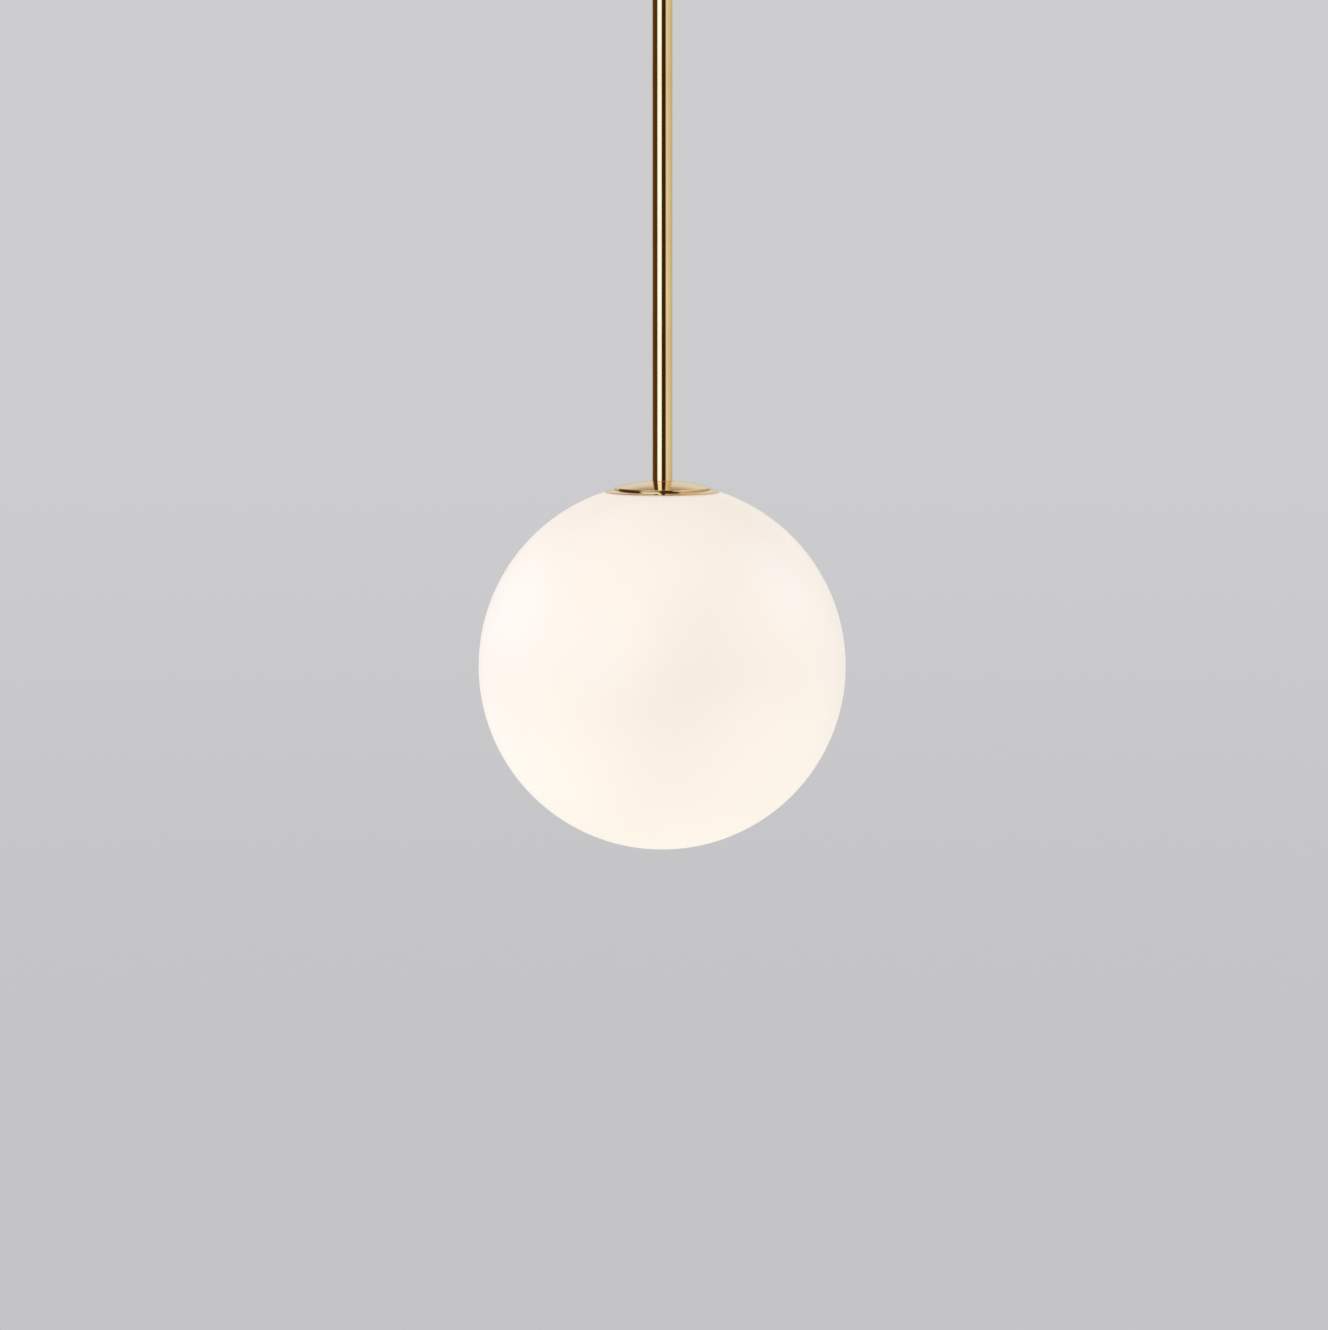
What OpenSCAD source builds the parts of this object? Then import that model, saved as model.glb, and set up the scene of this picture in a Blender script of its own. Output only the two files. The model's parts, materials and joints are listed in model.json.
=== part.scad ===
// Opal globe pendant light on a rigid brass stem, hung from a cardan joint in a ceiling canopy.
// Millimetres, +Z up. The origin is the centre of the face that meets the ceiling.

/* [Globe] */
// Outer diameter of the opal glass globe
globe_d = 230; // [210:1:260]
// Thickness of the glass
glass_t = 3; // [2.5:0.1:3.5]
// Radius of the opening in the top of the glass
glass_hole_r = 31.5; // [31.2:0.1:32]
// Outer radius of the flat lip ground around the opening
glass_lip_r = 33.9; // [33.6:0.1:34.1]

/* [Stem] */
// Length of stem and ball below the canopy
stem_len = 400; // [250:5:1200]
// Outer radius of the stem tube
stem_r = 6.5; // [6.3:0.1:6.6]
// Inner radius of the stem tube
stem_bore_r = 4.5; // [4:0.1:4.7]
// Outer radius of the M10 x 1 threads
thread_r = 5; // [4.9:0.05:5.1]

/* [Cap] */
// Outer radius of the gallery ring that sits on the glass
gallery_r = 35.8; // [35.4:0.1:37]
// Thickness of the gallery ring's disc
gallery_t = 0.95; // [0.95:0.01:1.1]
// Radius of the domed cap on the gallery ring
dome_r = 30.3; // [29:0.1:32]
// Height of the dome above its own edge
dome_rise = 4; // [3:0.1:6]
// Thickness of the dome's edge above its washer
dome_edge_t = 0.7; // [0.5:0.1:1]
// Thickness of the washer that lies hidden between dome and gallery ring
cap_washer_t = 0.5; // [0.4:0.1:1]
// Height of the seam between the dome's rim and the gallery ring
cap_seam = 0.1; // [0.05:0.05:0.3]

/* [Canopy] */
// Outer radius of the ceiling canopy
canopy_r = 60; // [60:0.5:64]
// Depth of the canopy
canopy_h = 25; // [25:0.5:26]
// Sheet thickness of the canopy
canopy_t = 1; // [0.8:0.1:1.2]
// Distance between the two slots for the ceiling screws
slot_spacing = 70; // [66:1:76]
// Width of each slot
slot_w = 4.5; // [4:0.1:5]
// Length of each slot, end to end
slot_len = 12; // [8:0.5:12]

/* [Cardan joint] */
// Depth of the joint's centre below the ceiling
pivot_depth = 17; // [16.8:0.1:17.2]
// Outer radius of the ball that closes the canopy's hole
ball_r = 16; // [15.8:0.1:16]
// Radius of the joint's pins
pin_r = 1.2; // [1:0.05:1.3]
// Running clearance around a pin
pin_gap = 0.05; // [0.03:0.01:0.08]

/* [Lamp] */
// Radius of the round lamp bulb
bulb_r = 22.5; // [20:0.5:23]
// Length of the lamp from contact to tip
lamp_len = 78; // [74:1:80]

/* [Hidden] */

$fn = 96;
fine = 180;
cut = 1;

// Colours
brass = "#c9a45c";
steel = "#b9bcc0";
zinc = "#9a9da0";
black = "#26262a";
white = "#f2f0ea";
opal = "#fbf3e6";
live = "#7a4a2b";
neutral = "#2f5fa8";
earth = "#5a8f3c";

// Heights in the canopy
plate_t = 2;
plate_r = 50;
tab_x = 58;
tab_w = 12;
tab_t = 2;
tab_drop = 16;
side_screw_z = -10;
m4_r = 1.95;
m4_hole_r = 2;
m4_head_r = 3.4;
m4_head_t = 2.2;
driver_w = 0.8;
driver_depth = 0.4;
canopy_corner = 3;
canopy_hole_r = 14.8;
cable_y = -30;
cable_hole_r = 7;
grommet_flange_r = 9;
grommet_flange_t = 2;
grommet_bore_r = 4.5;
pivot_z = -pivot_depth;

// Cardan joint
yoke_plate_t = 2.5;
yoke_half_x = 20;
yoke_half_y = 7;
yoke_screw_x = 15.5;
ear_in = 8.3;
ear_out = 10.8;
ear_r = 3.5;
gimbal_r = 7.5;
gimbal_bore_r = 5;
gimbal_h = 4;
pin_in = 5.5;
ball_t = 1.5;
ball_foot = 14.6;
head_r = ball_r - ball_t - 0.05;
head_top = 9.2;
fit_gap = 0.05;
nipple_bore_r = 3.5;
thread_len = 12;

// Terminal block
block_y = 24;
block_l = 14;
block_w = 30;
block_h = 12;
pole_pitch = 9;
pole_z = -8;
sleeve_r = 2.3;
sleeve_bore_r = 1.3;
clamp_screw_r = 1.2;
clamp_screw_y = 3.5;
clamp_head_t = 0.8;
clamp_recess = 1;
fixing_r = 1.2;
fixing_head_r = 2.2;
fixing_head_t = 1.2;
earth_x = 27;
earth_y = 20;
lug_t = 0.8;
lug_r = 1.6;
lug_len = 5.5;
lug_z = -plate_t - lug_r - fit_gap;

// Heights of the cap, from the globe's centre
globe_r = globe_d / 2;
function glass_height(r) = sqrt(globe_r * globe_r - r * r);
lip_h = glass_height(glass_lip_r);
gasket_t = 0.3;
gallery_under = lip_h + gasket_t;
gallery_top = gallery_under + gallery_t;
brim_t = 0.3;
brim_gap = 0.33;
brim_slope = 11;
dome_under = gallery_top + cap_washer_t;
rim_under = gallery_top + cap_seam;
rim_t = 1;
dome_foot = dome_under + dome_edge_t;
stem_foot = dome_foot + dome_rise;
dome_sphere_r = (dome_r * dome_r - stem_r * stem_r) / (2 * dome_rise) + dome_rise / 2;
globe_z = -(canopy_h + stem_len + stem_foot);

// Parts below the gallery ring, from the globe's centre
inner_plate_r = 30.5;
inner_plate_t = 2;
washer_r = 9;
washer_t = 1;
nut_flats = 14;
nut_t = 3;
inner_plate_under = gallery_under - inner_plate_t;
nut_under = inner_plate_under - washer_t - nut_t;
holder_top = nut_under;

// Retaining springs
spring_t = 0.6;
spring_w = 8;
spring_angles = [90, 210, 330];
rivet_at = 20;
rivet_r = 1.5;
rivet_head_r = 2.6;
rivet_head_t = 0.8;

// Lamp holder, measured down from its top
holder_r = 19.5;
holder_wall = 1;
holder_cap_h = 22;
holder_thread_h = 8;
holder_boss_r = 8;
holder_crown_r = 14;
insert_r = 18.2;
insert_top = 16;
insert_h = 6;
shell_r = 14.1;
shell_t = 0.5;
shell_h = 24;
skirt_bore_r = 14.5;
holder_h = 50;
terminal_at = 9;
terminal_r = 2.4;
terminal_h = 3;
terminal_shank_r = 1.5;
terminal_shank_h = 4;
tongue_w = 5;
tongue_t = 0.6;
tongue_y = -9;
tongue_bend = 3;

// Lamp, measured down from its centre contact
lamp_top = holder_top - 25;
contact_r = 4.5;
contact_t = 1.2;
insulator_h = 4;
lamp_cap_r = 13.1;
lamp_cap_h = 22;
lamp_cap_t = 0.6;
housing_h = 16;
bulb_t = 1;
board_t = 1.6;
bulb_centre = lamp_top - lamp_len + bulb_r;
housing_top = lamp_top - insulator_h - lamp_cap_h;
housing_foot = housing_top - housing_h;
board_top = housing_foot + 6;
housing_r = sqrt(bulb_r * bulb_r - (housing_foot - bulb_centre) * (housing_foot - bulb_centre));

// Wires: places of the three cores around the stem's axis
wire_r = 1.1;
core_circle = 1.45;
live_at = [core_circle * cos(210), core_circle * sin(210)];
neutral_at = [0, core_circle];
earth_at = [core_circle * cos(330), core_circle * sin(330)];
split_gap = 0.8;
bend_y = 6.3;
bend_z = -13.6;
wire_reach = terminal_at - terminal_r - wire_r - fit_gap;

// ---------- helpers ----------

module ring(r_out, r_in, h) {
    difference() {
        cylinder(r = r_out, h = h);
        translate([0, 0, -cut]) cylinder(r = r_in, h = h + 2 * cut);
    }
}

// A cylinder along +X that starts at x = a and ends at x = b
module rod_x(r, a, b) {
    translate([a, 0, 0]) rotate([0, 90, 0]) cylinder(r = r, h = b - a);
}

module both_x() {
    children();
    mirror([1, 0, 0]) children();
}

module in_globe() {
    translate([0, 0, globe_z]) children();
}

module at_pivot() {
    translate([0, 0, pivot_z]) children();
}

// A screw with its head at z = 0 and its shank going up
module screw(r, length, head_r, head_t) {
    cylinder(r = r, h = length);
    difference() {
        translate([0, 0, -head_t]) cylinder(r = head_r, h = head_t);
        translate([-head_r, -driver_w / 2, -head_t - cut])
            cube([2 * head_r, driver_w, head_t * driver_depth + cut]);
    }
}

function unit(v) = v / norm(v);
function ease(t) = t * t * (3 - 2 * t);
function heading(p, i) = p[min(i + 1, len(p) - 1)] - p[max(i - 1, 0)];

// Smooth curve through a route's points; the shorter neighbour sets how far it carries on at a point
function carry(p, i) =
    let (back = norm(p[i] - p[max(i - 1, 0)]), ahead = norm(p[min(i + 1, len(p) - 1)] - p[i]))
    unit(heading(p, i)) * (back == 0 ? ahead : ahead == 0 ? back : min(back, ahead));
function blend_point(p, i, t) = p[i] + (p[i + 1] - p[i]) * ease(t)
    + carry(p, i) * t * (1 - t) * (1 - t) - carry(p, i + 1) * t * t * (1 - t);
function smooth_route(p, steps) = let (last = len(p) - 1)
    concat([for (i = [0 : last - 1], k = [0 : steps - 1]) blend_point(p, i, k / steps)], [p[last]]);

// A round tube swept along a route; side is a direction that the route never follows
module wire(points, side, r = wire_r, sides = 8, steps = 3) {
    path = smooth_route(points, steps);
    count = len(path);
    rings = [for (i = [0 : count - 1])
        let (t = unit(heading(path, i)), u = unit(cross(t, side)), v = cross(t, u))
        for (k = [0 : sides - 1])
            path[i] + r * (cos(360 * k / sides) * u + sin(360 * k / sides) * v)];
    walls = [for (i = [0 : count - 2], k = [0 : sides - 1])
        let (n = (k + 1) % sides, a = i * sides, b = a + sides)
        each [[a + k, b + k, b + n], [a + k, b + n, a + n]]];
    first = [for (k = [0 : sides - 1]) k];
    last = [for (k = [0 : sides - 1]) count * sides - 1 - k];
    polyhedron(points = rings, faces = concat([first], walls, [last]));
}

// ---------- ceiling mount ----------

module slot() {
    run = (slot_len - slot_w) / 2;
    translate([-run, 0, 0]) cylinder(r = slot_w / 2, h = plate_t + 2 * cut);
    translate([run, 0, 0]) cylinder(r = slot_w / 2, h = plate_t + 2 * cut);
    translate([-run, -slot_w / 2, 0]) cube([2 * run, slot_w, plate_t + 2 * cut]);
}

module plate_hole(r) {
    translate([0, 0, -plate_t - cut]) cylinder(r = r, h = plate_t + 2 * cut);
}

module mounting_plate() color(steel) difference() {
    union() {
        translate([0, 0, -plate_t]) cylinder(r = plate_r, h = plate_t, $fn = fine);
        both_x() {
            translate([0, -tab_w / 2, -plate_t]) cube([tab_x, tab_w, plate_t]);
            translate([tab_x - tab_t, -tab_w / 2, -tab_drop]) cube([tab_t, tab_w, tab_drop]);
        }
    }
    both_x() {
        translate([slot_spacing / 2, 0, -plate_t - cut]) slot();
        translate([yoke_screw_x, 0, 0]) plate_hole(m4_hole_r);
        translate([0, 0, side_screw_z]) rod_x(m4_hole_r, tab_x - tab_t - cut, tab_x + cut);
        translate([pole_pitch / 2, block_y + block_l / 2, 0]) plate_hole(fixing_r + fit_gap);
    }
    translate([0, cable_y, 0]) plate_hole(cable_hole_r);
    translate([earth_x, earth_y, 0]) plate_hole(m4_hole_r);
}

// Rounded cup section: outline of the outside, inset by t
function cup_edge(t) = let (middle = [canopy_r - canopy_corner, canopy_corner - canopy_h])
    [for (a = [0 : 15 : 90]) middle + (canopy_corner - t) * [cos(a), -sin(a)]];

module canopy_cover() color(brass) difference() {
    rotate_extrude($fn = fine)
        polygon(concat([[canopy_r, 0]], cup_edge(0),
                       [[canopy_hole_r, -canopy_h], [canopy_hole_r, -canopy_h + canopy_t]],
                       [for (i = [6 : -1 : 0]) cup_edge(canopy_t)[i]], [[canopy_r - canopy_t, 0]]));
    both_x() translate([0, 0, side_screw_z])
        rod_x(m4_hole_r + 0.2, canopy_r - 2 * canopy_t, canopy_r + cut);
}

module canopy_screws() color(brass)
    both_x() translate([canopy_r, 0, side_screw_z]) rotate([0, -90, 0])
        screw(m4_r, canopy_r - tab_x + tab_t + 2, m4_head_r, m4_head_t);

module cable_grommet() color(black) translate([0, cable_y, 0]) difference() {
    union() {
        translate([0, 0, -plate_t]) cylinder(r = cable_hole_r - fit_gap, h = plate_t);
        translate([0, 0, -plate_t - grommet_flange_t]) cylinder(r = grommet_flange_r, h = grommet_flange_t);
    }
    translate([0, 0, -plate_t - grommet_flange_t - cut])
        cylinder(r = grommet_bore_r, h = plate_t + grommet_flange_t + 2 * cut);
}

module swivel_yoke() color(zinc) difference() {
    union() {
        translate([-yoke_half_x, -yoke_half_y, -plate_t - yoke_plate_t])
            cube([2 * yoke_half_x, 2 * yoke_half_y, yoke_plate_t]);
        both_x() {
            translate([ear_in, -ear_r, pivot_z]) cube([ear_out - ear_in, 2 * ear_r, -pivot_z - plate_t]);
            at_pivot() rod_x(ear_r, ear_in, ear_out);
        }
    }
    at_pivot() rod_x(pin_r + pin_gap, -ear_out - cut, ear_out + cut);
    both_x() translate([yoke_screw_x, 0, -plate_t - yoke_plate_t - cut])
        cylinder(r = m4_hole_r + 0.1, h = yoke_plate_t + 2 * cut);
}

module yoke_screws() color(steel)
    both_x() translate([yoke_screw_x, 0, -plate_t - yoke_plate_t])
        screw(m4_r, plate_t + yoke_plate_t, m4_head_r, m4_head_t);

module at_poles() {
    for (pole = [-1 : 1]) translate([pole * pole_pitch, block_y, 0]) children();
}

module terminal_block() color(white) difference() {
    translate([-block_w / 2, block_y, -plate_t - block_h]) cube([block_w, block_l, block_h]);
    at_poles() {
        translate([0, -cut, pole_z]) rotate([-90, 0, 0])
            cylinder(r = sleeve_r + fit_gap, h = block_l + 2 * cut);
        for (y = [clamp_screw_y, block_l - clamp_screw_y])
            translate([0, y, -plate_t - block_h - cut]) cylinder(r = clamp_screw_r + 0.6, h = block_h / 2);
    }
    both_x() translate([pole_pitch / 2, block_y + block_l / 2, -plate_t - block_h - cut])
        cylinder(r = fixing_r + fit_gap, h = block_h + 2 * cut);
}

module terminal_sleeves() color(brass) at_poles() difference() {
    translate([0, 1, pole_z]) rotate([-90, 0, 0]) cylinder(r = sleeve_r, h = block_l - 2);
    translate([0, 0, pole_z]) rotate([-90, 0, 0]) cylinder(r = sleeve_bore_r, h = block_l);
    for (y = [clamp_screw_y, block_l - clamp_screw_y])
        translate([0, y, pole_z - sleeve_r - cut]) cylinder(r = clamp_screw_r, h = sleeve_r + cut);
}

module terminal_screws() color(steel) at_poles() {
    head_z = clamp_recess - plate_t - block_h;
    shank = pole_z - wire_r - fit_gap - head_z;
    for (y = [clamp_screw_y, block_l - clamp_screw_y])
        translate([0, y, head_z]) screw(clamp_screw_r - fit_gap, shank, clamp_screw_r + 0.4, clamp_head_t);
}

module terminal_fixings() color(steel)
    both_x() translate([pole_pitch / 2, block_y + block_l / 2, -plate_t - block_h])
        screw(fixing_r, block_h + plate_t, fixing_head_r, fixing_head_t);

module earth_screw() color(brass)
    translate([earth_x, earth_y, -plate_t - lug_t]) screw(m4_r, plate_t + lug_t, m4_head_r, m4_head_t);

// A flat eye under the screw and a barrel that holds the wire
module earth_lug() color(steel) translate([earth_x, earth_y, 0]) difference() {
    union() {
        translate([0, 0, -plate_t - lug_t]) cylinder(r = m4_head_r + 0.6, h = lug_t);
        translate([0, m4_head_r, lug_z]) rotate([-90, 0, 0]) cylinder(r = lug_r, h = lug_len);
    }
    translate([0, 0, -plate_t - lug_t - cut]) cylinder(r = m4_hole_r, h = lug_t + 2 * cut);
    translate([0, m4_head_r + 1, lug_z]) rotate([-90, 0, 0]) cylinder(r = wire_r + fit_gap, h = lug_len);
}

module earth_link() color(earth)
    wire([[pole_pitch, block_y + 8.5, pole_z], [pole_pitch, block_y + block_l, pole_z],
          [pole_pitch, 41, pole_z], [12, 45, pole_z], [18, 46, -7], [24, 43, -5.6],
          [earth_x, 37, -4.2], [earth_x, 32, lug_z], [earth_x, earth_y + 6, lug_z]], [0, 0, 1]);

// From its pole to the stem's axis, over the joint and down to just above its centre
function upper_route(x, at) =
    let (bend = bend_y - at[1], start = [x, block_y - 2, pole_z], end = [at[0], 10, bend_z + bend])
    concat([[x, block_y + 5, pole_z]],
           [for (i = [0 : 5]) let (run = end - start, s = ease(i / 5))
                start + [run[0] * s, run[1] * i / 5, run[2] * s]],
           [for (a = [0 : 22.5 : 90]) [at[0], bend_y - bend * sin(a), bend_z + bend * cos(a)]],
           [[at[0], at[1], pivot_z + split_gap]]);

module live_wire_upper() color(live) wire(upper_route(-pole_pitch, live_at), [1, 0, 0]);
module neutral_wire_upper() color(neutral) wire(upper_route(0, neutral_at), [1, 0, 0]);
module earth_wire_upper() color(earth) wire(upper_route(pole_pitch, earth_at), [1, 0, 0]);

// ---------- cardan joint ----------

module gimbal_ring() color(zinc) at_pivot() difference() {
    translate([0, 0, -gimbal_h / 2]) ring(gimbal_r, gimbal_bore_r, gimbal_h);
    for (a = [0, 90]) rotate([0, 0, a]) rod_x(pin_r, -gimbal_r - cut, gimbal_r + cut);
}

module tilt_pins() {
    both_x() rod_x(pin_r, pin_in, ear_out);
}

module tilt_pins_x() color(steel) at_pivot() tilt_pins();
module tilt_pins_y() color(steel) at_pivot() rotate([0, 0, 90]) tilt_pins();

// ---------- stem ----------

module swivel_head() color(zinc) at_pivot() difference() {
    union() {
        intersection() {
            sphere(r = head_r);
            translate([0, 0, -ball_r]) cylinder(r = ball_r, h = ball_r - head_top);
        }
        rotate([0, 0, 90]) both_x() {
            intersection() {
                sphere(r = head_r);
                translate([ear_in, -ear_r, -head_top - 1]) cube([ear_out - ear_in, 2 * ear_r, head_top + 1]);
            }
            rod_x(ear_r, ear_in, ear_out);
        }
    }
    rotate([0, 0, 90]) rod_x(pin_r + pin_gap, -ear_out - cut, ear_out + cut);
    translate([0, 0, -ball_r]) cylinder(r = thread_r, h = ball_r - gimbal_r);
}

module swivel_ball() color(brass) at_pivot() difference() {
    sphere(r = ball_r, $fn = fine);
    sphere(r = ball_r - ball_t, $fn = fine);
    cylinder(r = ball_r + cut, h = ball_r + cut);
    translate([0, 0, -ball_r - cut]) cylinder(r = ball_r, h = ball_r - ball_foot + cut);
    translate([0, 0, -ball_r]) cylinder(r = thread_r + fit_gap, h = ball_r);
}

module nipple(z_low, z_high) {
    translate([0, 0, z_low]) ring(thread_r - fit_gap, nipple_bore_r, z_high - z_low);
}

module upper_nipple() color(steel) nipple(pivot_z - ball_foot - thread_len, pivot_z - head_top);

module stem_tube() color(brass) {
    z_low = globe_z + stem_foot;
    z_high = pivot_z - ball_foot;
    translate([0, 0, z_low]) difference() {
        cylinder(r = stem_r, h = z_high - z_low);
        translate([0, 0, -cut]) cylinder(r = stem_bore_r, h = z_high - z_low + 2 * cut);
        translate([0, 0, -cut]) cylinder(r = thread_r, h = thread_len + 1 + cut);
        translate([0, 0, z_high - z_low - thread_len - 1]) cylinder(r = thread_r, h = thread_len + 1 + cut);
    }
}

module lower_nipple() color(steel)
    nipple(globe_z + holder_top - holder_thread_h, globe_z + stem_foot + thread_len);

module cap_dome() color(brass) in_globe() difference() {
    intersection() {
        translate([0, 0, dome_foot + dome_rise - sqrt(dome_sphere_r * dome_sphere_r - stem_r * stem_r)])
            sphere(r = dome_sphere_r, $fn = 2 * fine);
        translate([0, 0, rim_under]) cylinder(r = dome_r, h = stem_foot - rim_under, $fn = fine);
    }
    translate([0, 0, rim_under - cut])
        cylinder(r = dome_r - rim_t, h = dome_under - rim_under + cut, $fn = fine);
    translate([0, 0, dome_under - cut]) cylinder(r = dome_r - 8, h = cut + 0.6);
    translate([0, 0, dome_under - cut]) cylinder(r = thread_r + fit_gap, h = dome_rise + 4);
}

module cap_washer() color(black) in_globe()
    translate([0, 0, gallery_top]) ring(dome_r - 1.3 * rim_t, thread_r + fit_gap, cap_washer_t);

// A flat disc whose brim slopes down over the lip of the glass
module gallery_ring() color(brass) in_globe() {
    brim_foot = glass_height(gallery_r) + brim_gap;
    lip_top = gallery_top - (glass_lip_r - dome_r) * tan(brim_slope);
    rotate_extrude($fn = fine)
        polygon([[thread_r + fit_gap, gallery_under], [glass_lip_r, gallery_under], [gallery_r, brim_foot],
                 [gallery_r, brim_foot + brim_t], [glass_lip_r, lip_top], [dome_r, gallery_top],
                 [thread_r + fit_gap, gallery_top]]);
}

module glass_gasket() color(white) in_globe()
    translate([0, 0, lip_h]) ring(glass_lip_r - 0.1, glass_hole_r + 0.1, gasket_t);

module at_springs() {
    for (a = spring_angles) rotate([0, 0, a]) children();
}

module gallery_plate() color(steel) in_globe() difference() {
    translate([0, 0, inner_plate_under]) ring(inner_plate_r, thread_r + fit_gap, inner_plate_t);
    at_springs() translate([rivet_at, 0, inner_plate_under - cut])
        cylinder(r = rivet_r, h = inner_plate_t + 2 * cut);
}

module lock_washer() color(steel) in_globe()
    translate([0, 0, inner_plate_under - washer_t]) ring(washer_r, thread_r + fit_gap, washer_t);

module lock_nut() color(steel) in_globe() translate([0, 0, nut_under]) difference() {
    cylinder(r = nut_flats / sqrt(3), h = nut_t, $fn = 6);
    translate([0, 0, -cut]) cylinder(r = thread_r, h = nut_t + 2 * cut);
}

// Both faces of a bent strip, from its middle line
function strip_side(p, t) = [for (i = [0 : len(p) - 1])
    let (a = unit(p[min(i + 1, len(p) - 1)] - p[i == len(p) - 1 ? i - 1 : i]),
         b = unit(p[max(i, 1)] - p[max(i - 1, 0)]),
         m = unit(a + b), reach = t / (m * a))
    p[i] + reach * [-m[1], m[0]]];
function strip(p, t) = let (under = strip_side(p, -t / 2))
    concat(strip_side(p, t / 2), [for (i = [len(p) - 1 : -1 : 0]) under[i]]);

module retaining_springs() color(steel) in_globe() {
    top = inner_plate_under - spring_t / 2;
    line = [[15, top], [29.2, top], [30.4, top - 0.5], [33.4, top - 2.9], [33.7, top - 4.1],
            [33, top - 5.3], [29.2, top - 9.4], [28.6, top - 11.2], [29.2, top - 12.8]];
    at_springs() difference() {
        rotate([90, 0, 0]) translate([0, 0, -spring_w / 2]) linear_extrude(spring_w)
            polygon(strip(line, spring_t));
        translate([rivet_at, 0, top - cut]) cylinder(r = rivet_r, h = 2 * cut);
    }
}

module spring_rivets() color(steel) in_globe() at_springs()
    translate([rivet_at, 0, inner_plate_under - spring_t]) {
        cylinder(r = rivet_r, h = spring_t + inner_plate_t);
        translate([0, 0, -rivet_head_t]) cylinder(r = rivet_head_r, h = rivet_head_t);
    }

// ---------- lamp holder ----------

module in_holder() {
    translate([0, 0, globe_z + holder_top]) children();
}

module holder_cap() color(steel) in_holder() rotate_extrude()
    polygon([[thread_r, 0], [holder_crown_r, 0], [17.8, -1.6], [holder_r, -5], [holder_r, -holder_cap_h],
             [holder_r - holder_wall, -holder_cap_h], [holder_r - holder_wall, -5.4],
             [17, -2.5], [holder_crown_r - 0.3, -holder_wall], [holder_boss_r, -holder_wall],
             [holder_boss_r, -holder_thread_h], [thread_r, -holder_thread_h]]);

module holder_insert() color(white) in_holder() difference() {
    translate([0, 0, -insert_top - insert_h]) cylinder(r = insert_r, h = insert_h);
    for (side = [-1, 1]) translate([side * terminal_at, 0, -insert_top - terminal_shank_h])
        cylinder(r = terminal_shank_r, h = terminal_shank_h + cut);
}

module holder_terminals() color(brass) in_holder()
    for (side = [-1, 1]) translate([side * terminal_at, 0, -insert_top]) rotate([180, 0, 0])
        screw(terminal_shank_r - fit_gap, terminal_shank_h - fit_gap, terminal_r, terminal_h);

module holder_shell() color(brass) in_holder()
    translate([0, 0, -holder_cap_h - shell_h]) ring(shell_r, shell_r - shell_t, shell_h);

module holder_skirt() color(white) in_holder() difference() {
    translate([0, 0, -holder_h]) union() {
        cylinder(r = holder_r - 0.8, h = holder_h - holder_cap_h);
        cylinder(r = holder_r, h = 6);
        translate([0, 0, 10]) cylinder(r = holder_r, h = 10);
    }
    translate([0, 0, -holder_h - cut]) cylinder(r = skirt_bore_r, h = holder_h);
}

// A tongue bent down from the insert to the lamp's contact
module centre_contact() color(brass) in_holder() translate([-tongue_w / 2, 0, -holder_cap_h]) {
    translate([0, tongue_y, -tongue_t]) cube([tongue_w, -tongue_y - tongue_t, tongue_t]);
    translate([0, -2 * tongue_t, -tongue_bend]) cube([tongue_w, tongue_t, tongue_bend]);
    translate([0, -2 * tongue_t, -tongue_bend]) cube([tongue_w, 4, tongue_t]);
}

// From just below the joint's centre, down the stem, then out towards its terminal
function lower_route(at, goal) =
    let (top = pivot_z - split_gap, foot = globe_z + holder_top - holder_thread_h,
         way = 0.6 * at + 0.4 * goal)
    concat([for (i = [0 : 4]) [at[0], at[1], top + (foot - top) * i / 4]],
           [[at[0], at[1], foot - 2], [way[0], way[1], foot - 4.8], [goal[0], goal[1], foot - 5.6]]);

module live_wire_lower() color(live) wire(lower_route(live_at, [-wire_reach, 0]), [0, 1, 0]);
module neutral_wire_lower() color(neutral) wire(lower_route(neutral_at, [wire_reach, 2]), [0, 1, 0]);
module earth_wire_lower() color(earth) wire(lower_route(earth_at, [7, -11]), [0, 1, 0]);

// ---------- globe ----------

module glass_globe() color(opal) in_globe() difference() {
    sphere(r = globe_r, $fn = fine);
    sphere(r = globe_r - glass_t, $fn = fine);
    translate([0, 0, lip_h]) cylinder(r = globe_r, h = globe_r);
    translate([0, 0, lip_h - 3 * glass_t]) cylinder(r = glass_hole_r, h = 4 * glass_t);
}

// ---------- lamp ----------

module lamp_contact() color(steel) in_globe()
    translate([0, 0, lamp_top - contact_t]) cylinder(r = contact_r, h = contact_t);

module lamp_insulator() color(black) in_globe() translate([0, 0, lamp_top - insulator_h])
    rotate_extrude() polygon([[0, 0], [lamp_cap_r - 1, 0], [contact_r + 1, insulator_h - contact_t],
                              [0, insulator_h - contact_t]]);

module lamp_cap() color(steel) in_globe()
    translate([0, 0, housing_top]) ring(lamp_cap_r, lamp_cap_r - lamp_cap_t, lamp_cap_h);

module lamp_housing() color(white) in_globe() rotate_extrude()
    polygon([[0, housing_top], [lamp_cap_r + lamp_cap_t, housing_top], [housing_r, housing_foot],
             [housing_r - 2, housing_foot], [housing_r - 3.5, board_top], [0, board_top]]);

module led_board() color(white) in_globe()
    translate([0, 0, board_top - board_t]) cylinder(r = housing_r - 4, h = board_t);

module lamp_bulb() color(opal) in_globe() difference() {
    translate([0, 0, bulb_centre]) sphere(r = bulb_r, $fn = fine);
    translate([0, 0, bulb_centre]) sphere(r = bulb_r - bulb_t, $fn = fine);
    translate([0, 0, housing_foot]) cylinder(r = bulb_r, h = 2 * bulb_r);
}

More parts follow.
